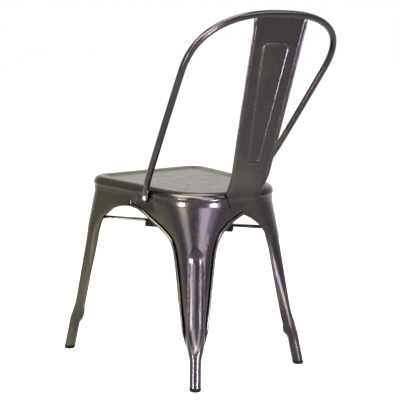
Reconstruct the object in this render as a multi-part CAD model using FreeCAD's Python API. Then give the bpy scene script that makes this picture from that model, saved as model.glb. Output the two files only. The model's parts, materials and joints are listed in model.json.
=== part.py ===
# Stacking cafe chair in pressed steel sheet, one STEP file for each separate piece.
# Units are millimetres.  +Z is up, the chair faces -Y, its left side is +X.
import FreeCAD
import Part
import math
import os

os.makedirs("parts", exist_ok=True)
V = FreeCAD.Vector

# ---- driving dimensions -------------------------------------------------------------
SHEET = 1.2               # steel sheet of the pressings
GAP = 0.2                 # air left between touching pieces

SEAT_Y_FRONT = -190.0     # seat plan, measured from the middle of its length
SEAT_Y_REAR = 197.9
SEAT_HALF_FRONT = 184.5
SEAT_HALF_REAR = 147.9
SEAT_R_FRONT = 52.0
SEAT_R_REAR = 112.0
RIM_Z_FRONT = 450.0       # height of the rim's crest
RIM_Z_REAR = 439.3
RIM_ROUND = 15.5          # radius of the rolled rim
SKIRT_DROP = 32.4         # crest to the skirt's lower edge
SKIRT_INSET = 1.5
DISH_DEPTH = 4.5
DISH_START = 18.0
DISH_END = 46.5
DRAIN_R = 3.0
DRAIN_X = 44.3
DRAIN_Y = 53.2
DRAIN_MID_Y = 20.6

FOOT_FRONT = (209.1, -224.5)
FOOT_REAR = (164.7, 226.4)
TUBE_R = 13.3             # outside radius of the leg's round lower end
CAP_HEIGHT = 9.0
CAP_STEM = 24.0
LEG_TUCK = 12.0           # height of leg sheet hidden behind the skirt
BEAD_R = 3.6              # rolled edge of the arches
SIDE_SEAM_Y = -20.0       # where front and rear leg panels meet
SEAM_GAP = 0.15

BOLT_Y = 30.1
BOLT_Z = 415.9
RECESS_DEPTH = 2.8
RECESS_HALF = 33.0

HOOP_R = 7.75
HOOP_WALL = 1.2
HOOP_TOP_Z = 842.06
HOOP_LEAN = 0.635         # run towards the rear per unit of height
HOOP_Y = 40.85            # line of the hoop's straight part at the bolt's height
HOOP_HALF = 218.4
HOOP_SHOULDER_Z = 728.0
HOOP_POWER = 2.47
EYE_HALF = 11.0
EYE_THICK = 3.6

SPLAT_SHEET = 1.2
SPLAT_LEAN = 0.2582
SPLAT_KINK_Z = 478.0

BRACE_Z = 342.4           # top of the upper cross bar
BRACE_W = 18.0
BRACE_H = 5.6
BRACE_T = 1.5
BRACE_TILT = -1.45        # degrees about the cross axis; lifts the front ends


# ---- small helpers ------------------------------------------------------------------
def pchip(stations, s):
    """Smooth value through (position, value) stations without overshoot."""
    n = len(stations)
    if s <= stations[0][0]:
        return stations[0][1]
    if s >= stations[-1][0]:
        return stations[-1][1]
    h = [stations[i + 1][0] - stations[i][0] for i in range(n - 1)]
    g = [(stations[i + 1][1] - stations[i][1]) / h[i] for i in range(n - 1)]
    m = [g[0]]
    for i in range(1, n - 1):
        if g[i - 1] * g[i] <= 0.0:
            m.append(0.0)
        else:
            a = 2.0 * h[i] + h[i - 1]
            b = h[i] + 2.0 * h[i - 1]
            m.append((a + b) / (a / g[i - 1] + b / g[i]))
    m.append(g[-1])
    k = 0
    while s > stations[k + 1][0]:
        k += 1
    t = (s - stations[k][0]) / h[k]
    t2 = t * t
    t3 = t2 * t
    value = (2 * t3 - 3 * t2 + 1) * stations[k][1]
    value += (t3 - 2 * t2 + t) * h[k] * m[k]
    value += (3 * t2 - 2 * t3) * stations[k + 1][1]
    value += (t3 - t2) * h[k] * m[k + 1]
    return value


def ramp(a, b, s):
    """Smooth step from 0 at a to 1 at b."""
    t = min(1.0, max(0.0, (s - a) / (b - a)))
    return t * t * (3.0 - 2.0 * t)


def knots_for(n, degree):
    inner = n - degree
    knots = [float(i) for i in range(inner + 1)]
    mults = [degree + 1] + [1] * (inner - 1) + [degree + 1]
    return knots, mults


def grid_surface(grid, periodic):
    """Smooth surface steered by a grid of points; rows may be closed loops."""
    rows = len(grid)
    cols = len(grid[0])
    vk, vm = knots_for(rows, 3)
    if periodic:
        uk = [float(i) for i in range(cols + 1)]
        um = [1] * (cols + 1)
    else:
        uk, um = knots_for(cols, 3)
    poles = [[grid[r][c] for r in range(rows)] for c in range(cols)]
    surface = Part.BSplineSurface()
    surface.buildFromPolesMultsKnots(poles, um, vm, uk, vk, periodic, False, 3, 3)
    return surface


def grid_face(grid):
    return grid_surface(grid, False).toShape()


LOOP_PIECES = 12


def strip_face(line_a, line_b):
    """Edge face between two rows of steering points."""
    n = len(line_a)
    uk, um = knots_for(n, 3)
    poles = [[line_a[i], line_b[i]] for i in range(n)]
    surface = Part.BSplineSurface()
    surface.buildFromPolesMultsKnots(poles, um, [2, 2], uk, [0.0, 1.0], False, False, 3, 1)
    return surface.toShape()


def solid_from(faces, name):
    shell = Part.Compound(faces)
    shell.sewShape(0.002)
    shells = shell.Shells
    if len(shells) != 1 or not shells[0].isClosed():
        print("open shell in", name, len(shells))
    solid = Part.Solid(shells[0])
    if solid.Volume < 0:
        solid.reverse()
    return solid


def offset_grid(grid, thickness):
    """Grid moved along its own normals, towards the side opposite to the outside."""
    rows = len(grid)
    cols = len(grid[0])
    result = []
    for r in range(rows):
        line = []
        for c in range(cols):
            du = grid[r][min(cols - 1, c + 1)] - grid[r][max(0, c - 1)]
            dv = grid[min(rows - 1, r + 1)][c] - grid[max(0, r - 1)][c]
            normal = du.cross(dv)
            normal.normalize()
            line.append(grid[r][c] + normal * thickness)
        result.append(line)
    return result


def sheet_solid(outer, inner, name):
    faces = [grid_face(outer), grid_face(inner)]
    faces.append(strip_face(outer[0], inner[0]))
    faces.append(strip_face(outer[-1], inner[-1]))
    faces.append(strip_face([row[0] for row in outer], [row[0] for row in inner]))
    faces.append(strip_face([row[-1] for row in outer], [row[-1] for row in inner]))
    return solid_from(faces, name)


def loop_solid(rings, name):
    """Closed solid through rings of points, with flat ends; its side is laid in quarters."""
    surface = grid_surface(rings, True)
    around = len(rings[0])
    length = len(rings) - 3
    cuts = [length * k / LOOP_PIECES for k in range(LOOP_PIECES + 1)]
    cuts = [float(round(c)) for c in cuts]
    faces = []
    for q in range(4):
        low = around * q / 4.0
        high = around * (q + 1) / 4.0
        for k in range(LOOP_PIECES):
            patch = surface.copy()
            patch.segment(low, high, cuts[k], cuts[k + 1])
            faces.append(patch.toShape())
    for v in (0.0, float(length)):
        ring = surface.vIso(v)
        edges = []
        for q in range(4):
            edges.append(ring.toShape(around * q / 4.0, around * (q + 1) / 4.0))
        faces.append(Part.Face(Part.Wire(edges)))
    return solid_from(faces, name)


# ---- seat plan ----------------------------------------------------------------------
SIDE_SLOPE = (SEAT_HALF_REAR - SEAT_HALF_FRONT) / (SEAT_Y_REAR - SEAT_Y_FRONT)
SIDE_ANGLE = math.atan(-SIDE_SLOPE)
RIM_Z = RIM_Z_FRONT + (RIM_Z_REAR - RIM_Z_FRONT) * (0.0 - SEAT_Y_FRONT) / (SEAT_Y_REAR - SEAT_Y_FRONT)
RIM_TILT = (RIM_Z_REAR - RIM_Z_FRONT) / (SEAT_Y_REAR - SEAT_Y_FRONT)
SKIRT_Z = RIM_Z - SKIRT_DROP

# middle of the whole chair's length, so that the origin falls below the chair's centre
HOOP_TOP_Y = HOOP_Y + (HOOP_TOP_Z - BOLT_Z) * HOOP_LEAN
CENTRE_Y = 0.5 * (FOOT_FRONT[1] - TUBE_R + HOOP_TOP_Y + HOOP_R)


def place(x, y, z):
    """Level working frame to the chair's frame: seat tilt and centred origin."""
    return V(x, y - CENTRE_Y, z * (1.0 + RIM_TILT * y / RIM_Z))


def place_plain(x, y, z):
    return V(x, y - CENTRE_Y, z)


def corner_centre(front, radius, inset):
    if front:
        yc = SEAT_Y_FRONT + inset + radius
    else:
        yc = SEAT_Y_REAR - inset - radius
    xs = SEAT_HALF_FRONT + SIDE_SLOPE * (yc - SEAT_Y_FRONT) - inset / math.cos(SIDE_ANGLE)
    return xs - radius / math.cos(SIDE_ANGLE), yc


def recess(y, ease=0.0):
    """Pressed pocket in the side skirt that takes the hoop's flattened end."""
    d = abs(y - BOLT_Y)
    return (RECESS_DEPTH + 0.3 * ease) * (1.0 - ramp(RECESS_HALF - 9.0 + ease, RECESS_HALF + ease, d))


def half_plan(step):
    """Points and outward normals of the seat plan from mid front to mid rear."""
    pieces = []
    fx, fy = corner_centre(True, SEAT_R_FRONT, 0.0)
    rx, ry = corner_centre(False, SEAT_R_REAR, 0.0)
    n = max(2, int(round(fx / step)))
    for i in range(n):
        pieces.append((fx * i / n, SEAT_Y_FRONT, 0.0, -1.0))
    turn = SIDE_ANGLE + math.pi / 2
    n = max(6, int(round(SEAT_R_FRONT * turn / step)))
    for i in range(n):
        a = -math.pi / 2 + turn * i / n
        pieces.append((fx + SEAT_R_FRONT * math.cos(a), fy + SEAT_R_FRONT * math.sin(a), math.cos(a), math.sin(a)))
    ca = math.cos(SIDE_ANGLE)
    sa = math.sin(SIDE_ANGLE)
    x0 = fx + SEAT_R_FRONT * ca
    y0 = fy + SEAT_R_FRONT * sa
    x1 = rx + SEAT_R_REAR * ca
    y1 = ry + SEAT_R_REAR * sa
    n = int(round(math.hypot(x1 - x0, y1 - y0) / step))
    for i in range(n):
        pieces.append((x0 + (x1 - x0) * i / n, y0 + (y1 - y0) * i / n, ca, sa))
    turn = math.pi / 2 - SIDE_ANGLE
    n = int(round(SEAT_R_REAR * turn / step))
    for i in range(n):
        a = SIDE_ANGLE + turn * i / n
        pieces.append((rx + SEAT_R_REAR * math.cos(a), ry + SEAT_R_REAR * math.sin(a), math.cos(a), math.sin(a)))
    n = max(3, int(round(rx / step)))
    for i in range(n + 1):
        pieces.append((rx * (1 - i / n), SEAT_Y_REAR, 0.0, 1.0))
    return pieces


# ---- seat pan -----------------------------------------------------------------------
def seat_profile():
    """Rim section as (inset, height below the crest, share of the recess)."""
    line = []
    for i in range(5):
        line.append((SKIRT_INSET, -SKIRT_DROP + 2.2 * i, 1.0))
    line.append((SKIRT_INSET, -RIM_ROUND - 6.2, 0.9))
    line.append((SKIRT_INSET - 0.3, -RIM_ROUND - 4.6, 0.75))
    line.append((0.5, -RIM_ROUND - 3.2, 0.6))
    line.append((0.1, -RIM_ROUND - 1.8, 0.45))
    for i in range(8):
        a = math.radians(90.0 * i / 7.0)
        inset = RIM_ROUND * (1.0 - math.cos(a))
        height = -RIM_ROUND + RIM_ROUND * math.sin(a)
        line.append((inset, height, max(0.0, 0.3 - 0.1 * i)))
    for i in range(1, 12):
        t = i / 11.0
        inset = RIM_ROUND + (DISH_END - RIM_ROUND) * t
        drop = DISH_DEPTH * ramp(DISH_START, DISH_END, inset)
        line.append((inset, -drop, 0.0))
    line.append((DISH_END + 4.0, -DISH_DEPTH, 0.0))
    return line


def offset_profile(line, thickness):
    result = []
    n = len(line)
    for i in range(n):
        a = line[max(0, i - 1)]
        b = line[min(n - 1, i + 1)]
        dx = b[0] - a[0]
        dz = b[1] - a[1]
        length = math.hypot(dx, dz)
        result.append((line[i][0] + thickness * dz / length, line[i][1] - thickness * dx / length, line[i][2]))
    return result


def seat_band(profile, side):
    grid = []
    for inset, height, share in profile:
        row = []
        for px, py, nx, ny in half_plan(4.0):
            extra = share * recess(py) if nx > 0.9 else 0.0
            d = inset + extra
            row.append(place(side * (px - nx * d), py - ny * d, RIM_Z + height))
        grid.append(row)
    return grid


def make_seat():
    outer_profile = seat_profile()
    inner_profile = offset_profile(outer_profile, SHEET)
    faces = []
    top_edges = []
    low_edges = []
    for side in (1.0, -1.0):
        outer = seat_band(outer_profile, side)
        inner = seat_band(inner_profile, side)
        faces.append(grid_face(outer))
        faces.append(grid_face(inner))
        faces.append(strip_face(outer[0], inner[0]))
        top_edges.append(curve_edge(outer[-1]))
        low_edges.append(curve_edge(inner[-1]))
    faces.append(Part.Face(Part.Wire(top_edges)))
    faces.append(Part.Face(Part.Wire(low_edges)))
    seat = solid_from(faces, "seat_pan")
    drains = [(0.0, 0.0), (0.0, DRAIN_Y), (0.0, -DRAIN_Y)]
    for sx in (-1.0, 1.0):
        for sy in (-0.5, 0.5):
            drains.append((sx * DRAIN_X, sy * DRAIN_Y))
    for dx, dy in drains:
        at = place(dx, DRAIN_MID_Y + dy, RIM_Z)
        seat = seat.cut(Part.makeCylinder(DRAIN_R, 60.0, V(at.x, at.y, at.z - 40.0)))
    for side in (1.0, -1.0):
        seat = seat.cut(bolt_bore(side, 3.4))
    return seat


def curve_edge(line):
    n = len(line)
    knots, mults = knots_for(n, 3)
    curve = Part.BSplineCurve()
    curve.buildFromPolesMultsKnots(line, mults, knots, False, 3)
    return curve.toShape()


# ---- legs ---------------------------------------------------------------------------
LEGS = {
    "rear": {
        "front": False,
        "face": math.radians(49.0),
        "foot": FOOT_REAR,
        "seat_r": SEAT_R_REAR,
        "nose_r": [(0.0, TUBE_R), (62.0, TUBE_R), (95.0, 19.3), (139.0, 22.8), (208.0, 29.8),
                   (260.0, 37.0), (304.0, 45.3), (360.0, 72.0)],
        "side_turn": [(82.0, -13.7), (97.0, 14.5), (139.0, 24.0), (208.0, 37.5), (304.0, 32.5)],
        "end_turn": [(82.0, -16.3), (97.0, 2.5), (139.0, 8.5), (208.0, 19.6), (304.0, 28.1)],
        "side_edge": [(41.4, 9.2), (41.4, 40.0), (41.8, 68.0), (42.0, 97.0), (44.3, 139.0), (48.5, 200.0),
                      (55.7, 250.0), (63.5, 290.0), (73.0, 326.0), (96.0, 348.0), (119.0, 363.0),
                      (147.0, 381.5), (170.0, 390.8), (188.0, 393.5)],
        "end_edge": [(41.4, 9.2), (41.4, 40.0), (41.0, 68.0), (39.8, 97.0), (40.4, 139.0), (43.4, 200.0),
                     (45.6, 250.0), (47.7, 290.0), (52.0, 325.0), (63.0, 348.0), (78.5, 365.0),
                     (95.0, 377.5), (109.0, 385.5), (122.0, 391.0)],
    },
    "front": {
        "front": True,
        "face": math.radians(-42.3),
        "foot": FOOT_FRONT,
        "seat_r": SEAT_R_FRONT,
        "nose_r": [(0.0, TUBE_R), (62.0, TUBE_R), (95.0, 17.6), (139.0, 23.6), (208.0, 31.1),
                   (260.0, 35.7), (304.0, 40.5), (360.0, 45.0)],
        "side_turn": [(82.0, -15.2), (97.0, 9.9), (139.0, 23.5), (208.0, 33.8), (304.0, 36.5)],
        "end_turn": [(82.0, -16.3), (97.0, 8.9), (139.0, 23.6), (208.0, 37.0), (304.0, 37.6)],
        "side_edge": [(41.4, 9.2), (41.4, 40.0), (40.6, 68.0), (39.6, 97.0), (41.0, 139.0), (47.0, 200.0),
                      (50.2, 250.0), (48.6, 290.0), (51.0, 325.0), (61.3, 347.0), (75.0, 362.0),
                      (100.0, 381.0), (125.0, 390.6), (145.0, 393.5)],
        "end_edge": [(41.4, 9.2), (41.4, 40.0), (39.4, 68.0), (38.8, 97.0), (40.7, 139.0), (45.5, 200.0),
                     (48.6, 250.0), (49.6, 290.0), (55.0, 327.0), (78.0, 348.0), (99.0, 364.0),
                     (124.0, 380.0), (147.0, 388.0), (165.0, 390.0)],
    },
}
FLUTE_HALF = [(81.0, 0.0), (84.0, 3.5), (92.0, 8.0), (103.0, 12.5), (120.0, 17.5), (139.0, 19.8), (208.0, 20.0),
              (282.0, 18.8), (297.0, 17.2), (307.0, 12.5), (313.0, 6.5), (316.0, 0.0)]
FLUTE_DEPTH = [(81.0, 0.0), (90.0, 1.5), (103.0, 4.5), (125.0, 6.5), (208.0, 7.0), (284.0, 6.5), (300.0, 5.0),
               (309.0, 2.5), (316.0, 0.0)]


def leg_point(leg, z, sigma):
    """Outside of a leg: height z, distance sigma round the sheet from the nose."""
    face = leg["face"]
    dx = math.cos(face)
    dy = math.sin(face)
    if leg["front"]:
        tx, ty = -dy, dx
        side_dir = (SIDE_SLOPE, 1.0)
    else:
        tx, ty = dy, -dx
        side_dir = (-SIDE_SLOPE, -1.0)
    inset = SKIRT_INSET + SHEET + GAP
    top_r = leg["seat_r"] - inset
    cx, cy = corner_centre(leg["front"], top_r, inset)
    low = (leg["foot"][0] + TUBE_R * dx, leg["foot"][1] + TUBE_R * dy)
    high = (cx + top_r * dx, cy + top_r * dy)
    zz = min(z, SKIRT_Z)
    share = zz / SKIRT_Z
    nx = low[0] + (high[0] - low[0]) * share
    ny = low[1] + (high[1] - low[1]) * share
    radius = pchip(leg["nose_r"] + [(SKIRT_Z, top_r)], zz)
    length = math.hypot(side_dir[0], side_dir[1])
    if sigma > 0:
        top_beta = math.degrees(math.acos(-(side_dir[0] * dx + side_dir[1] * dy) / length))
    else:
        top_beta = math.degrees(math.acos(dx))
    turn = leg["side_turn"] if sigma > 0 else leg["end_turn"]
    beta_line = [(0.0, -90.0), (62.0, -90.0), (69.0, -70.0)] + turn
    beta_line += [(385.0, top_beta), (SKIRT_Z, top_beta)]
    beta = math.radians(pchip(beta_line, zz))
    phi = math.pi / 2 - beta
    s = abs(sigma)
    if s <= radius * phi:
        across = radius * math.sin(s / radius)
        back = radius * (1.0 - math.cos(s / radius))
    else:
        run = s - radius * phi
        across = radius * math.sin(phi) + run * math.sin(beta)
        back = radius * (1.0 - math.cos(phi)) + run * math.cos(beta)
    half = pchip(FLUTE_HALF, zz)
    if s < half:
        ridge = radius * (1.0 - math.cos(half / radius))
        back = ridge + pchip(FLUTE_DEPTH, zz) * (1.0 - (s / half) ** 2)
    if sigma < 0:
        across = -across
    x = nx - dx * back + tx * across
    y = ny - dy * back + ty * across
    if s > 60.0 and sigma > 0:
        x -= recess(y, 3.0) * ramp(382.0, 408.0, z)
    return V(x, y, z)


def edge_lines(leg):
    """Both free edges of a leg as matching stations along the leg."""
    side = leg["side_edge"]
    end = leg["end_edge"]
    run = [0.0]
    for i in range(1, len(side)):
        a = math.hypot(side[i][0] - side[i - 1][0], side[i][1] - side[i - 1][1])
        b = math.hypot(end[i][0] - end[i - 1][0], end[i][1] - end[i - 1][1])
        run.append(run[-1] + 0.5 * (a + b))
    total = run[-1]
    lines = []
    for line in (side, end):
        sig = [(run[i] / total, line[i][0]) for i in range(len(line))]
        hgt = [(run[i] / total, line[i][1]) for i in range(len(line))]
        lines.append((sig, hgt))
    return lines


def seam_sigma(leg, arm, z):
    """Distance round the sheet from the nose to the seam with the next leg."""
    lo = 60.0
    hi = 260.0
    for step in range(30):
        mid = 0.5 * (lo + hi)
        if arm == "end":
            beyond = leg_point(leg, z, -mid).x < SEAM_GAP
        elif leg["front"]:
            beyond = leg_point(leg, z, mid).y > SIDE_SEAM_Y - SEAM_GAP
        else:
            beyond = leg_point(leg, z, mid).y < SIDE_SEAM_Y + SEAM_GAP
        if beyond:
            hi = mid
        else:
            lo = mid
    return lo


LEG_ROWS = 104
LEG_COLS = 88
CURL_COLS = 8
CURL_TURN = math.radians(265.0)


def spread(c):
    """Place of a column across the sheet; columns crowd towards both edges."""
    t = c / LEG_COLS
    return 0.2 * t + 0.4 * (1.0 - math.cos(math.pi * t))


def leg_grid(leg):
    side_line, end_line = edge_lines(leg)
    apex = []
    for line, arm in ((side_line, "side"), (end_line, "end")):
        height = line[1][-1][1]
        apex.append((seam_sigma(leg, arm, height), height))
    top_z = SKIRT_Z + LEG_TUCK
    rise = 0.09
    top_row = []
    for c in range(LEG_COLS + 1):
        u = spread(c)
        if u < rise:
            height = apex[0][1] + (top_z - apex[0][1]) * u / rise
            top_row.append((seam_sigma(leg, "side", height), height))
        elif u > 1 - rise:
            height = apex[1][1] + (top_z - apex[1][1]) * (1 - u) / rise
            top_row.append((-seam_sigma(leg, "end", height), height))
        else:
            w = (u - rise) / (1 - 2 * rise)
            left = seam_sigma(leg, "side", top_z)
            right = seam_sigma(leg, "end", top_z)
            top_row.append((left * (1 - w) - right * w, top_z))
    outer = []
    for r in range(LEG_ROWS + 1):
        v = r / LEG_ROWS
        ends = []
        for k, line in enumerate((side_line, end_line)):
            grow = (apex[k][0] / line[0][-1][1]) ** ramp(0.75, 1.0, v)
            sig = pchip(line[0], v) * grow
            ends.append([sig, pchip(line[1], v)])
        lift = ramp(0.55, 1.0, v)
        row = []
        for c in range(LEG_COLS + 1):
            u = spread(c)
            sig = (1 - u) * ends[0][0] - u * ends[1][0]
            hgt = (1 - u) * ends[0][1] + u * ends[1][1]
            t_sig, t_hgt = top_row[c]
            sig += lift * (t_sig - (1 - u) * apex[0][0] + u * apex[1][0])
            hgt += lift * (t_hgt - (1 - u) * apex[0][1] - u * apex[1][1])
            row.append((sig, hgt))
        outer.append(row)
    return outer


def leg_sheet(kind):
    leg = LEGS[kind]
    plan = leg_grid(leg)
    points = []
    for row in plan:
        points.append([leg_point(leg, h, s) for s, h in row])
    flip = 1.0 if leg["front"] else -1.0
    inside = offset_grid(points, flip * SHEET)
    outer = []
    inner = []
    for r in range(len(points)):
        height = plan[r][0][1]
        curl = ramp(88.0, 135.0, height)
        left_o, left_i = curl_points(points, inside, r, 0, curl)
        height = plan[r][-1][1]
        curl = ramp(88.0, 135.0, height)
        right_o, right_i = curl_points(points, inside, r, -1, curl)
        outer.append(left_o[::-1] + points[r] + right_o)
        inner.append(left_i[::-1] + inside[r] + right_i)
    return outer, inner


def curl_points(points, inside, r, end, curl):
    """Rolled bead beyond one end of a row; flattens out as curl goes to nought."""
    base_o = points[r][end]
    base_i = inside[r][end]
    step = 1 if end == 0 else -2
    nxt = points[r][1] if end == 0 else points[r][-2]
    normal = base_o - base_i
    normal.normalize()
    before = points[max(0, r - 1)][end]
    after = points[min(len(points) - 1, r + 1)][end]
    tangent = after - before
    tangent.z *= 1.0 - ramp(len(points) - 9.0, len(points) - 1.0, float(r))
    tangent.normalize()
    away = tangent.cross(normal)
    away.normalize()
    if away.dot(base_o - nxt) < 0:
        away = away * -1.0
    centre = base_i + normal * BEAD_R
    line_o = []
    line_i = []
    for k in range(1, CURL_COLS + 1):
        turn = CURL_TURN * k / CURL_COLS
        ray = normal * (-math.cos(turn)) + away * math.sin(turn)
        reach = 3.4 * k / CURL_COLS
        flat_o = base_o + away * reach
        flat_i = base_i + away * reach
        line_o.append(flat_o * (1 - curl) + (centre + ray * (BEAD_R - SHEET)) * curl)
        line_i.append(flat_i * (1 - curl) + (centre + ray * BEAD_R) * curl)
    return line_o, line_i


def make_leg(kind, side):
    outer, inner = leg_sheet(kind)
    out = [[place(side * p.x, p.y, p.z) for p in row] for row in outer]
    inn = [[place(side * p.x, p.y, p.z) for p in row] for row in inner]
    leg = sheet_solid(out, inn, "leg_" + kind)
    if kind == "rear":
        leg = leg.cut(bolt_bore(side, 3.4))
    return leg


# ---- fasteners of the hoop ----------------------------------------------------------
def skirt_x(y):
    x = SEAT_HALF_FRONT + SIDE_SLOPE * (y - SEAT_Y_FRONT)
    return x - SKIRT_INSET / math.cos(SIDE_ANGLE) - recess(y) / math.cos(SIDE_ANGLE)


EYE_X = skirt_x(BOLT_Y) + GAP + 0.5 * EYE_THICK


def bolt_axis(side):
    """Point on the bolt's axis in the eye's middle, and the outward direction."""
    at = place_plain(side * EYE_X, BOLT_Y, BOLT_Z)
    return at, V(side * math.cos(SIDE_ANGLE), math.sin(SIDE_ANGLE), 0.0)


def bolt_bore(side, radius):
    at, out = bolt_axis(side)
    return Part.makeCylinder(radius, 30.0, at - out * 15.0, out)


# ---- foot caps ----------------------------------------------------------------------
def leg_axis(kind, z):
    """Centre of a leg's round lower end at height z."""
    p = leg_point(LEGS[kind], z, 0.0)
    face = LEGS[kind]["face"]
    return p.x - TUBE_R * math.cos(face), p.y - TUBE_R * math.sin(face)


def make_cap(kind, side):
    steps = [(0.0, TUBE_R - 2.2), (0.5, TUBE_R - 1.0), (1.5, TUBE_R - 0.2), (2.6, TUBE_R), (CAP_HEIGHT, TUBE_R)]
    stem = [(CAP_HEIGHT, TUBE_R - SHEET - 0.25), (CAP_HEIGHT + CAP_STEM, TUBE_R - SHEET - 0.6)]
    bodies = []
    for line in (steps, stem):
        wires = []
        for z, radius in line:
            x, y = leg_axis(kind, z)
            circle = Part.Circle(place(side * x, y, z), V(0, 0, 1), radius)
            wires.append(Part.Wire([circle.toShape()]))
        bodies.append(Part.makeLoft(wires, True, True))
    return bodies[0].fuse(bodies[1]).removeSplitter()


# ---- back hoop ----------------------------------------------------------------------
HOOP_SIDE = [(400.0, EYE_X), (BOLT_Z, EYE_X), (426.0, EYE_X + 3.2), (438.0, 170.1), (453.5, 175.9),
             (471.0, 181.2), (491.5, 186.2), (515.0, 190.6), (560.0, 197.3), (620.0, 205.2), (660.0, 210.2),
             (700.0, 215.2), (HOOP_SHOULDER_Z, HOOP_HALF)]
HOOP_TUCK = [(BOLT_Z, HOOP_Y - BOLT_Y), (426.0, 9.7), (438.0, 8.5), (453.5, 6.4), (471.0, 4.3), (491.5, 2.1),
             (515.0, 0.7), (545.0, 0.0)]


def hoop_y(z):
    return HOOP_Y + (z - BOLT_Z) * HOOP_LEAN - pchip(HOOP_TUCK, z)


def hoop_path():
    """Centre line from the left eye over the top to the right eye."""
    line = []
    z = BOLT_Z
    while z < HOOP_SHOULDER_Z:
        line.append(V(pchip(HOOP_SIDE, z), hoop_y(z), z))
        z += 2.0
    rise = HOOP_TOP_Z - HOOP_SHOULDER_Z
    for i in range(91):
        a = math.radians(i)
        x = HOOP_HALF * max(0.0, math.cos(a)) ** (2.0 / HOOP_POWER)
        z = HOOP_SHOULDER_Z + rise * max(0.0, math.sin(a)) ** (2.0 / HOOP_POWER)
        line.append(V(x, hoop_y(z), z))
    return line + [V(-p.x, p.y, p.z) for p in line[-2::-1]]


def resample(line, step):
    total = sum((line[i + 1] - line[i]).Length for i in range(len(line) - 1))
    n = int(round(total / step))
    result = [line[0]]
    walked = 0.0
    k = 0
    start = 0.0
    for i in range(1, n):
        want = total * i / n
        while start + (line[k + 1] - line[k]).Length < want:
            start += (line[k + 1] - line[k]).Length
            k += 1
        part = (want - start) / (line[k + 1] - line[k]).Length
        result.append(line[k] + (line[k + 1] - line[k]) * part)
    result.append(line[-1])
    return result, total


def hoop_ring(centre, tangent, thick, wide, boxy, thick_axis):
    wide_axis = tangent.cross(thick_axis)
    wide_axis.normalize()
    axis = wide_axis.cross(tangent)
    axis.normalize()
    count = 24
    grow = 3.0 / (2.0 + math.cos(2 * math.pi / count))
    ring = []
    for i in range(count):
        a = 2 * math.pi * i / count
        ca = math.cos(a)
        sa = math.sin(a)
        cx = math.copysign(abs(ca) ** (2.0 / boxy), ca) * thick * grow
        cy = math.copysign(abs(sa) ** (2.0 / boxy), sa) * wide * grow
        p = centre + axis * cx + wide_axis * cy
        ring.append(place_plain(p.x, p.y, p.z))
    return ring


def make_hoop():
    path, total = resample(hoop_path(), 6.0)
    skirt_out = V(math.cos(SIDE_ANGLE), math.sin(SIDE_ANGLE), 0.0)
    plane = V(0.0, 1.0, -HOOP_LEAN)
    plane.normalize()
    rings = []
    core = []
    n = len(path)
    for i in range(n):
        run = total * i / (n - 1)
        up = min(run, total - run)
        tangent = path[min(n - 1, i + 1)] - path[max(0, i - 1)]
        tangent.normalize()
        side = 1.0 if path[i].x > 0 else -1.0
        flat_axis = V(side * skirt_out.x, skirt_out.y, 0.0)
        round_axis = tangent.cross(plane)
        flat = 1.0 - ramp(14.0, 58.0, up)
        axis = flat_axis * flat + round_axis * (1 - flat)
        thick = HOOP_R + (0.5 * EYE_THICK - HOOP_R) * flat
        wide = HOOP_R + (EYE_HALF - HOOP_R) * (1.0 - ramp(16.0, 60.0, up))
        rings.append(hoop_ring(path[i], tangent, thick, wide, 2.0 + 2.0 * flat, axis))
        if up > 66.0:
            core.append(hoop_ring(path[i], tangent, HOOP_R - HOOP_WALL, HOOP_R - HOOP_WALL, 2.0, axis))
    for end in (0, -1):
        tip = path[end]
        back = path[1] if end == 0 else path[-2]
        side = 1.0 if end == 0 else -1.0
        down = V(0.0, tip.y - back.y, tip.z - back.z)
        down.normalize()
        flat_axis = V(side * skirt_out.x, skirt_out.y, 0.0)
        extra = []
        for turn in (18.0, 36.0, 54.0, 68.0, 78.0):
            reach = EYE_HALF * math.sin(math.radians(turn))
            wide = EYE_HALF * math.cos(math.radians(turn))
            tangent = down * -1.0 if end == 0 else down
            extra.append(hoop_ring(tip + down * reach, tangent, 0.5 * EYE_THICK, wide, 4.0, flat_axis))
        if end == 0:
            rings = extra[::-1] + rings
        else:
            rings = rings + extra
    hoop = loop_solid(rings, "back_hoop")
    hoop = hoop.cut(loop_solid(core, "hoop bore"))
    for side in (1.0, -1.0):
        hoop = hoop.cut(bolt_bore(side, 3.4))
    return hoop


# ---- back splat ---------------------------------------------------------------------
SPLAT_PROFILE = [(402.0, 197.8), (414.0, 197.9), (418.0, 198.3), (421.5, 199.2), (425.0, 199.5), (432.0, 199.7),
                 (439.0, 200.3), (444.0, 202.0), (450.0, 204.8), (458.0, 208.6), (468.0, 213.3),
                 (SPLAT_KINK_Z, 217.9)]
SPLAT_HALF = [(402.0, 36.0), (403.5, 40.0), (406.5, 43.0), (412.0, 45.5), (425.0, 50.5), (434.0, 55.0),
              (442.0, 56.6), (455.0, 57.4), (480.0, 59.3), (500.0, 60.6), (820.0, 80.4), (840.0, 81.6)]
EDGE_WIDE = 10.5          # rolled stiffening rib along both long edges
EDGE_RISE = 5.6
PANEL_LOW = 507.0
PANEL_HIGH = 776.0
PANEL_HALF_LOW = 17.0
PANEL_HALF_HIGH = 38.0
PANEL_RAISE = 0.9
PANEL_CORNER = 8.0
RIDGE_HALF = 3.0          # bead pressed round the raised panel
RIDGE_RISE = 1.6


def splat_y(z):
    if z < SPLAT_KINK_Z:
        return pchip(SPLAT_PROFILE, z)
    return SPLAT_PROFILE[-1][1] + (z - SPLAT_KINK_Z) * SPLAT_LEAN


def panel_half(z):
    share = (min(PANEL_HIGH, max(PANEL_LOW, z)) - PANEL_LOW) / (PANEL_HIGH - PANEL_LOW)
    return PANEL_HALF_LOW + (PANEL_HALF_HIGH - PANEL_HALF_LOW) * share


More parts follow.
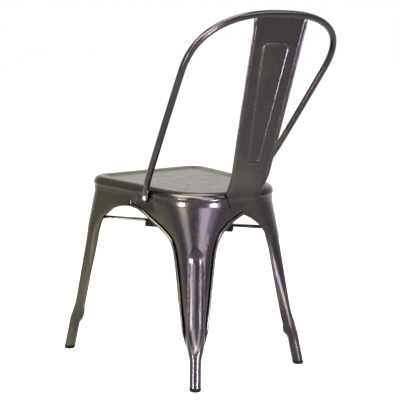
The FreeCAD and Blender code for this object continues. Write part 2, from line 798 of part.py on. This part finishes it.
def panel_raise(x, z):
    dx = panel_half(z) - abs(x)
    dz = min(z - PANEL_LOW, PANEL_HIGH - z)
    r = PANEL_CORNER
    if dx < r and dz < r:
        d = r - math.hypot(r - dx, r - dz)
    else:
        d = min(dx, dz)
    ridge = 0.5 * (1.0 + math.cos(math.pi * min(1.0, abs(d) / RIDGE_HALF)))
    return PANEL_RAISE * ramp(-2.0, 2.0, d) + RIDGE_RISE * ridge


def spaced(runs):
    """Stations along several runs, each given as start, end and number of steps."""
    line = []
    for low, high, count in runs:
        for i in range(count):
            line.append(low + (high - low) * i / count)
    line.append(runs[-1][1])
    return line


def hoop_under(x):
    """Height of the hoop's underside above x."""
    rise = HOOP_TOP_Z - HOOP_SHOULDER_Z
    share = (1.0 - abs(x / HOOP_HALF) ** HOOP_POWER) ** (1.0 / HOOP_POWER)
    return HOOP_SHOULDER_Z + rise * share - HOOP_R - GAP


def make_splat():
    outer = []
    top = hoop_under(0.0)
    levels = spaced([(402.0, PANEL_LOW - 4.0, 38), (PANEL_LOW - 4.0, PANEL_LOW + 4.0, 9),
                     (PANEL_LOW + 4.0, PANEL_HIGH - 4.0, 58), (PANEL_HIGH - 4.0, PANEL_HIGH + 4.0, 9),
                     (PANEL_HIGH + 4.0, top, 18)])
    for mid in levels:
        v = (mid - 402.0) / (top - 402.0)
        row = []
        half = pchip(SPLAT_HALF, mid)
        slope = (splat_y(mid + 1.0) - splat_y(mid - 1.0)) / 2.0
        tilt = math.hypot(1.0, slope)
        rear = (1.0 / tilt, -slope / tilt)
        rise = EDGE_RISE * ramp(432.0, 464.0, mid) * (1.0 - 0.6 * ramp(812.0, 834.0, mid))
        side = []
        for k in range(12):
            side.append((half - EDGE_WIDE * k / 12.0, rise * math.sin(math.pi * k / 12.0)))
        flat_half = half - EDGE_WIDE
        inner = panel_half(mid)
        near = inner + 3.4
        far = inner - 3.4
        flat = spaced([(flat_half, near, 10), (near, far, 10), (far, -far, 34), (-far, -near, 10),
                       (-near, -flat_half, 10)])
        line = side + [(x, 0.0) for x in flat] + [(-x, b) for x, b in reversed(side)]
        for x, back in line:
            z = 402.0 + (hoop_under(min(abs(x), 78.0)) - 402.0) * v
            raised = back + panel_raise(x, z)
            row.append(place_plain(x, splat_y(z) + rear[0] * raised, z + rear[1] * raised))
        outer.append(row)
    inner = offset_grid(outer, -SPLAT_SHEET)
    return sheet_solid(outer, inner, "back_splat")


# ---- under-seat brace ---------------------------------------------------------------
def brace_ends(flip):
    """Ends of one cross bar, front leg then rear leg."""
    ends = []
    for kind, side in (("front", flip), ("rear", -flip)):
        leg = LEGS[kind]
        p = leg_point(leg, BRACE_Z - 0.5 * BRACE_H, 0.0)
        ends.append(V(side * p.x, p.y, 0.0))
    run = ends[1] - ends[0]
    run.normalize()
    return ends[0] + run * 3.6, ends[1] - run * 3.6


def bar_box(a, b, width, low, high):
    run = b - a
    box = Part.makeBox(run.Length, width, high - low, V(0, -0.5 * width, low))
    box.rotate(V(0, 0, 0), V(0, 0, 1), math.degrees(math.atan2(run.y, run.x)))
    box.translate(V(a.x, a.y - CENTRE_Y, 0))
    return box


def crossing():
    a0, a1 = brace_ends(1.0)
    share = a0.x / (a0.x - a1.x)
    return V(0, a0.y + (a1.y - a0.y) * share, 0)


def make_bar(flip, top):
    a, b = brace_ends(flip)
    bar = bar_box(a, b, BRACE_W, top - BRACE_H, top)
    long_edges = []
    for edge in bar.Edges:
        middle = edge.CenterOfMass
        if abs(middle.z - top) < 0.01 and edge.Length > 100:
            long_edges.append(edge)
    bar = bar.makeFillet(2.2, long_edges)
    run = b - a
    run.normalize()
    hollow = bar_box(a - run * 5.0, b + run * 5.0, BRACE_W - 2 * BRACE_T, top - BRACE_H - 1.0, top - BRACE_T)
    bar = bar.cut(hollow)
    if flip > 0:
        mid = crossing()
        c, d = brace_ends(-1.0)
        other = d - c
        other.normalize()
        notch = bar_box(mid - other * 30.0, mid + other * 30.0, BRACE_W + 1.0, top - BRACE_H - 1.0, top - BRACE_T)
        bar = bar.cut(notch)
    at = crossing()
    return bar.cut(Part.makeCylinder(3.1, 40.0, V(at.x, at.y - CENTRE_Y, top - 20.0)))


def make_brace_rivet():
    at = crossing()
    base = V(at.x, at.y - CENTRE_Y, 0)
    shank = Part.makeCylinder(3.0, 2 * BRACE_T + GAP + 1.0, base + V(0, 0, LOWER_TOP - BRACE_T - 0.5))
    head = Part.makeSphere(9.0, base + V(0, 0, BRACE_Z + GAP / 2 + 2.4 - 9.0))
    head = head.common(Part.makeCylinder(8.0, 6.0, base + V(0, 0, BRACE_Z + GAP / 2)))
    foot = Part.makeCylinder(4.6, 1.8, base + V(0, 0, LOWER_TOP - BRACE_T - 1.8 - GAP / 2))
    return shank.fuse([head, foot]).removeSplitter()


def tilted(shape):
    """Lean a piece of the brace with the rest of it."""
    at = crossing()
    shape.rotate(V(0, at.y - CENTRE_Y, BRACE_Z), V(1, 0, 0), BRACE_TILT)
    return shape


LOWER_TOP = BRACE_Z - BRACE_T - GAP
BUMPER_FRONT = 107.0      # distance of each pair from the crossing
BUMPER_REAR = 72.0
BUMPER_LENGTH = 38.0
BUMPER_WIDTH = 24.0
BUMPER_DROP = 12.6


def make_bumper(flip, front, top):
    a, b = brace_ends(flip)
    mid = crossing()
    run = (a if front else b) - mid
    run.normalize()
    centre = BUMPER_FRONT if front else BUMPER_REAR
    start = mid + run * (centre - 0.5 * BUMPER_LENGTH)
    stop = mid + run * (centre + 0.5 * BUMPER_LENGTH)
    low = top - BRACE_H - BUMPER_DROP
    block = bar_box(start, stop, BUMPER_WIDTH, low, top - 0.8)
    rounded = [e for e in block.Edges if abs(e.CenterOfMass.z - low) < 0.01]
    block = block.makeFillet(1.8, rounded)
    slot = bar_box(mid, stop + run * 20.0, BRACE_W + 2 * GAP, top - BRACE_H - GAP, top + 5.0)
    return block.cut(slot)


# ---- hoop fasteners -----------------------------------------------------------------
def along_bolt(side, radius, start, length):
    at, out = bolt_axis(side)
    return Part.makeCylinder(radius, length, at + out * start, out)


def make_bolt(side):
    at, out = bolt_axis(side)
    face = 0.5 * EYE_THICK + 0.1
    shank = along_bolt(side, 3.0, -14.0, 14.0 + face + 0.5)
    ball = Part.makeSphere(7.4, at + out * (face + 3.4 - 7.4))
    head = ball.common(along_bolt(side, 6.3, face, 6.0))
    return shank.fuse(head).removeSplitter()


def inner_face():
    """Distance from the eye's middle to the inside of the leg sheet."""
    return 0.5 * EYE_THICK + GAP + SHEET + GAP + SHEET + 1.6


def make_washer(side):
    start = -inner_face() - 1.2
    return along_bolt(side, 6.0, start, 1.2).cut(along_bolt(side, 3.2, start - 1.0, 4.0))


def make_nut(side):
    at, out = bolt_axis(side)
    start = -inner_face() - 1.4 - 4.0
    points = []
    sideways = V(0, 0, 1)
    other = out.cross(sideways)
    for i in range(7):
        a = math.radians(60.0 * i)
        points.append(at + out * start + sideways * (5.8 * math.cos(a)) + other * (5.8 * math.sin(a)))
    nut = Part.Face(Part.makePolygon(points)).extrude(out * 4.0)
    return nut.cut(along_bolt(side, 3.05, start - 1.0, 6.0))


# ---- write every piece --------------------------------------------------------------
def save(shape, name):
    shape.exportStep("parts/" + name + ".step")
    box = shape.BoundBox
    print(name, shape.isValid(), len(shape.Solids), round(shape.Volume / 1000.0, 2), "cm3", box)


def main():
    save(make_seat(), "seat_pan")
    for kind in ("front", "rear"):
        for side, word in ((1.0, "left"), (-1.0, "right")):
            save(make_leg(kind, side), "leg_" + kind + "_" + word)
            save(make_cap(kind, side), "foot_cap_" + kind + "_" + word)
    save(make_hoop(), "back_hoop")
    save(make_splat(), "back_splat")
    save(tilted(make_bar(1.0, BRACE_Z)), "brace_bar_upper")
    save(tilted(make_bar(-1.0, LOWER_TOP)), "brace_bar_lower")
    save(tilted(make_brace_rivet()), "brace_rivet")
    save(tilted(make_bumper(1.0, True, BRACE_Z)), "bumper_front_left")
    save(tilted(make_bumper(1.0, False, BRACE_Z)), "bumper_rear_right")
    save(tilted(make_bumper(-1.0, True, LOWER_TOP)), "bumper_front_right")
    save(tilted(make_bumper(-1.0, False, LOWER_TOP)), "bumper_rear_left")
    save(Part.Compound([make_bolt(1.0), make_bolt(-1.0)]), "hoop_bolts")
    save(Part.Compound([make_washer(1.0), make_washer(-1.0)]), "hoop_washers")
    save(Part.Compound([make_nut(1.0), make_nut(-1.0)]), "hoop_nuts")


main()
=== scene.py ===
"""Looks, light and camera for the stacking chair. Lengths are in metres, in the CAD part's own frame."""
import json
import math

import bpy
from mathutils import Matrix, Vector

# Seams and sheet edges sharper than this stay crisp; closer corners than WELD_REACH are joined
CRISP_ANGLE = math.radians(38.0)
WELD_REACH = 0.000002

FLOOR_SIZE = 40.0
FLOOR_GLOW = 0.74

CAMERA_PLACE = (1.58530, 1.88481, 0.79267)
CAMERA_YAW = math.radians(49.95)
CAMERA_PITCH = math.radians(-9.116)
CAMERA_ROLL = math.radians(0.668)
CAMERA_LENS = 92.15

# Light panels: name, centre, point aimed at, width, height, watts, colour
PANELS = (
    ("softbox left", (2.0, 0.45, 0.10), (0.0, 0.1, 0.3), 0.36, 0.18, 40.0, (1.0, 0.97, 1.0)),
    ("softbox right", (0.08, 2.15, 0.10), (0.05, 0.0, 0.3), 0.48, 0.18, 84.0, (0.95, 0.88, 1.0)),
    ("window left", (2.95, 0.55, 1.55), (0.0, 0.0, 0.45), 1.3, 1.9, 90.0, (1.0, 0.97, 0.92)),
    ("window right", (1.0, 3.0, 1.55), (0.0, 0.0, 0.45), 1.6, 1.9, 170.0, (0.93, 0.86, 1.0)),
    ("window high", (1.90, 0.85, 2.55), (0.0, 0.1, 0.45), 3.5, 0.8, 360.0, (0.97, 1.0, 0.76)),
    ("window far right", (-1.7, 2.1, 2.6), (0.0, 0.2, 0.6), 1.8, 1.0, 70.0, (1.0, 0.98, 0.95)),
    ("softbox above", (0.0, 0.2, 3.0), (0.0, 0.1, 0.0), 1.8, 1.6, 150.0, (1.0, 0.96, 0.84)),
)

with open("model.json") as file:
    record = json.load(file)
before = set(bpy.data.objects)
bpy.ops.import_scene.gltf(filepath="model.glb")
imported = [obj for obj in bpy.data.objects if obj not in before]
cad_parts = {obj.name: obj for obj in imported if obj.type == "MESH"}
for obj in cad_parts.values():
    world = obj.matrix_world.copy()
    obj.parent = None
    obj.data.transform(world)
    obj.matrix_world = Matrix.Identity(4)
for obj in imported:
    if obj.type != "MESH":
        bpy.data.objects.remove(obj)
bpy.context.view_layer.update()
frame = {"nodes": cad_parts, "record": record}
nodes = frame["nodes"]


# ---- small helpers ------------------------------------------------------------------
def new_material(name):
    material = bpy.data.materials.new(name)
    material.use_nodes = True
    tree = material.node_tree
    tree.nodes.clear()
    output = tree.nodes.new("ShaderNodeOutputMaterial")
    shader = tree.nodes.new("ShaderNodeBsdfPrincipled")
    tree.links.new(shader.outputs["BSDF"], output.inputs["Surface"])
    return material, tree, shader


def object_place(tree, scale=(1.0, 1.0, 1.0)):
    """Place on the object, stretched by scale; all nodes share one frame."""
    coordinate = tree.nodes.new("ShaderNodeTexCoord")
    mapping = tree.nodes.new("ShaderNodeMapping")
    mapping.inputs["Scale"].default_value = scale
    tree.links.new(coordinate.outputs["Object"], mapping.inputs["Vector"])
    return mapping.outputs["Vector"]


def noise(tree, place, scale, detail=4.0, roughness=0.55, distortion=0.0):
    texture = tree.nodes.new("ShaderNodeTexNoise")
    texture.inputs["Scale"].default_value = scale
    texture.inputs["Detail"].default_value = detail
    texture.inputs["Roughness"].default_value = roughness
    texture.inputs["Distortion"].default_value = distortion
    tree.links.new(place, texture.inputs["Vector"])
    return texture.outputs["Fac"]


def remap(tree, value, low, high, to_low, to_high):
    node = tree.nodes.new("ShaderNodeMapRange")
    node.inputs["From Min"].default_value = low
    node.inputs["From Max"].default_value = high
    node.inputs["To Min"].default_value = to_low
    node.inputs["To Max"].default_value = to_high
    tree.links.new(value, node.inputs["Value"])
    return node.outputs["Result"]


def mix_colour(tree, factor, a, b, blend="MIX"):
    node = tree.nodes.new("ShaderNodeMix")
    node.data_type = "RGBA"
    node.blend_type = blend
    for socket, value in ((node.inputs[0], factor), (node.inputs[6], a), (node.inputs[7], b)):
        if isinstance(value, (tuple, float)):
            socket.default_value = value
        else:
            tree.links.new(value, socket)
    return node.outputs[2]


def maths(tree, operation, a, b):
    node = tree.nodes.new("ShaderNodeMath")
    node.operation = operation
    for socket, value in ((node.inputs[0], a), (node.inputs[1], b)):
        if isinstance(value, float):
            socket.default_value = value
        else:
            tree.links.new(value, socket)
    return node.outputs[0]


def bump(tree, height, strength, distance):
    node = tree.nodes.new("ShaderNodeBump")
    node.inputs["Strength"].default_value = strength
    node.inputs["Distance"].default_value = distance
    tree.links.new(height, node.inputs["Height"])
    return node.outputs["Normal"]


# ---- materials ----------------------------------------------------------------------
def lacquered_steel():
    """Bare sheet steel under clear lacquer: dark, rubbed in streaks, clouded olive to violet, with painted
    shade: toward the rear the tint is pushed darker and more violet.
    """
    material, tree, shader = new_material("lacquered_steel")
    place = object_place(tree)
    clouds_and_rear_shade = noise(tree, place, 5.0, 3.0, 0.5, 0.4)
    patches = noise(tree, place, 30.0, 4.0, 0.6)
    streaks = noise(tree, object_place(tree, (70.0, 70.0, 4.0)), 6.0, 5.0, 0.6)
    grain = noise(tree, place, 900.0, 2.0, 0.5)
    olive = (0.049, 0.046, 0.033, 1.0)
    violet = (0.0255, 0.0225, 0.0270, 1.0)
    split = tree.nodes.new("ShaderNodeSeparateXYZ")
    tree.links.new(place, split.inputs[0])
    # Painted shade: the tint is pushed toward the darker violet as Y grows, so the rear of the chair is
    # painted darker and violet as if dimly lit in violet from behind
    clouds_and_rear_shade = maths(tree, "ADD", clouds_and_rear_shade, remap(tree, split.outputs["Y"], -0.20, 0.20, -0.14, 0.15))
    tint = mix_colour(tree, remap(tree, clouds_and_rear_shade, 0.38, 0.60, 0.0, 1.0), olive, violet)
    brown = (0.032, 0.025, 0.018, 1.0)
    tint = mix_colour(tree, remap(tree, patches, 0.48, 0.70, 0.0, 0.55), tint, brown)
    pale = (0.056, 0.052, 0.047, 1.0)
    tint = mix_colour(tree, remap(tree, streaks, 0.52, 0.82, 0.0, 0.35), tint, pale)
    tree.links.new(tint, shader.inputs["Base Color"])
    shader.inputs["Metallic"].default_value = 1.0
    rough = remap(tree, streaks, 0.25, 0.75, 0.19, 0.28)
    rough = maths(tree, "ADD", rough, remap(tree, patches, 0.3, 0.7, -0.03, 0.04))
    tree.links.new(rough, shader.inputs["Roughness"])
    height = maths(tree, "ADD", patches, maths(tree, "MULTIPLY", grain, 0.05))
    tree.links.new(bump(tree, height, 0.05, 0.0008), shader.inputs["Normal"])
    return material


def rubber(name, colour):
    """Moulded black rubber, slightly scuffed."""
    material, tree, shader = new_material(name)
    place = object_place(tree)
    scuffs = noise(tree, place, 70.0, 5.0, 0.65)
    grain = noise(tree, place, 1400.0, 2.0, 0.5)
    worn = (colour[0] * 2.4, colour[1] * 2.3, colour[2] * 2.2, 1.0)
    tint = mix_colour(tree, remap(tree, scuffs, 0.48, 0.75, 0.0, 0.8), colour, worn)
    tree.links.new(tint, shader.inputs["Base Color"])
    tree.links.new(remap(tree, scuffs, 0.3, 0.7, 0.48, 0.7), shader.inputs["Roughness"])
    shader.inputs["Specular IOR Level"].default_value = 0.04
    tree.links.new(bump(tree, grain, 0.25, 0.0003), shader.inputs["Normal"])
    return material


def bright_steel():
    """Zinc plated bolt steel with a little tarnish."""
    material, tree, shader = new_material("bright_steel")
    place = object_place(tree)
    tarnish = noise(tree, place, 160.0, 4.0, 0.6)
    clean = (0.55, 0.54, 0.50, 1.0)
    dull = (0.34, 0.32, 0.28, 1.0)
    tint = mix_colour(tree, remap(tree, tarnish, 0.4, 0.7, 0.0, 1.0), clean, dull)
    tree.links.new(tint, shader.inputs["Base Color"])
    shader.inputs["Metallic"].default_value = 1.0
    tree.links.new(remap(tree, tarnish, 0.3, 0.7, 0.22, 0.42), shader.inputs["Roughness"])
    return material


MATERIALS = {
    "lacquered_steel": lacquered_steel(),
    "cap_rubber": rubber("cap_rubber", (0.002, 0.002, 0.0022, 1.0)),
    "bumper_rubber": rubber("bumper_rubber", (0.003, 0.003, 0.0035, 1.0)),
    "bright_steel": bright_steel(),
}


def dress():
    """Smooth shading with crisp sheet edges, and a finish for every node."""
    slots = {}
    for part in frame["record"]["subparts"]:
        slots[part["node"]] = part["material_slot"]
    for name, piece in nodes.items():
        piece.data.materials.clear()
        piece.data.materials.append(MATERIALS[slots[name]])
        weld = piece.modifiers.new("join faces", "WELD")
        weld.merge_threshold = WELD_REACH
        split = piece.modifiers.new("crisp edges", "EDGE_SPLIT")
        split.split_angle = CRISP_ANGLE
        piece.data.shade_smooth()


# ---- room ---------------------------------------------------------------------------
def add_floor():
    bpy.ops.mesh.primitive_plane_add(size=FLOOR_SIZE, location=(0.0, 0.0, 0.0))
    floor = bpy.context.active_object
    floor.name = "floor"
    material, tree, shader = new_material("pale_floor")
    place = object_place(tree)
    tint = mix_colour(tree, remap(tree, noise(tree, place, 3.0), 0.35, 0.65, 0.0, 1.0),
                      (0.25, 0.25, 0.25, 1.0), (0.27, 0.27, 0.27, 1.0))
    tree.links.new(tint, shader.inputs["Base Color"])
    shader.inputs["Roughness"].default_value = 0.9
    shader.inputs["Specular IOR Level"].default_value = 0.1
    shader.inputs["Emission Color"].default_value = (1.0, 1.0, 1.0, 1.0)
    shader.inputs["Emission Strength"].default_value = FLOOR_GLOW
    floor.data.materials.append(material)


def add_panel(name, centre, aim, wide, high, watts, colour):
    light = bpy.data.lights.new(name, "AREA")
    light.shape = "RECTANGLE"
    light.size = wide
    light.size_y = high
    light.energy = watts
    light.color = colour
    holder = bpy.data.objects.new(name, light)
    bpy.context.scene.collection.objects.link(holder)
    toward = Vector(aim) - Vector(centre)
    holder.rotation_mode = "QUATERNION"
    holder.rotation_quaternion = toward.to_track_quat("-Z", "Y")
    holder.location = centre


def add_world():
    """White room to the eye; its light is warm from the front left, dimmer and violet from behind."""
    world = bpy.data.worlds.new("studio")
    bpy.context.scene.world = world
    world.use_nodes = True
    tree = world.node_tree
    tree.nodes.clear()
    output = tree.nodes.new("ShaderNodeOutputWorld")
    seen = tree.nodes.new("ShaderNodeBackground")
    seen.inputs["Color"].default_value = (1.0, 1.0, 1.0, 1.0)
    given = tree.nodes.new("ShaderNodeBackground")
    coordinate = tree.nodes.new("ShaderNodeTexCoord")
    dot = tree.nodes.new("ShaderNodeVectorMath")
    dot.operation = "DOT_PRODUCT"
    dot.inputs[1].default_value = (0.64, -0.77, 0.0)
    tree.links.new(coordinate.outputs["Generated"], dot.inputs[0])
    side = remap(tree, dot.outputs["Value"], -1.0, 1.0, 0.0, 1.0)
    tint = mix_colour(tree, side, (0.95, 0.86, 1.02, 1.0), (1.22, 1.20, 1.00, 1.0))
    tree.links.new(tint, given.inputs["Color"])
    path = tree.nodes.new("ShaderNodeLightPath")
    mix = tree.nodes.new("ShaderNodeMixShader")
    tree.links.new(path.outputs["Is Camera Ray"], mix.inputs[0])
    tree.links.new(given.outputs[0], mix.inputs[1])
    tree.links.new(seen.outputs[0], mix.inputs[2])
    tree.links.new(mix.outputs[0], output.inputs["Surface"])


def add_camera():
    level = math.cos(CAMERA_PITCH)
    ahead = Vector((-math.cos(CAMERA_YAW) * level, -math.sin(CAMERA_YAW) * level, math.sin(CAMERA_PITCH)))
    right = ahead.cross(Vector((0.0, 0.0, 1.0))).normalized()
    up = right.cross(ahead)
    across = right * math.cos(CAMERA_ROLL) + up * math.sin(CAMERA_ROLL)
    above = up * math.cos(CAMERA_ROLL) - right * math.sin(CAMERA_ROLL)
    data = bpy.data.cameras.new("camera")
    data.sensor_width = 36.0
    data.lens = CAMERA_LENS
    data.clip_end = 100.0
    camera = bpy.data.objects.new("camera", data)
    bpy.context.scene.collection.objects.link(camera)
    back = -ahead
    turn = Matrix((
        (across.x, above.x, back.x),
        (across.y, above.y, back.y),
        (across.z, above.z, back.z),
    ))
    camera.matrix_world = Matrix.Translation(CAMERA_PLACE) @ turn.to_4x4()
    bpy.context.scene.camera = camera


dress()
add_floor()
add_world()
for panel in PANELS:
    add_panel(*panel)
add_camera()

bpy.context.scene.view_settings.view_transform = "Standard"
bpy.context.scene.view_settings.look = "None"
bpy.context.scene.view_settings.exposure = 0.0
bpy.context.scene.view_settings.gamma = 1.0
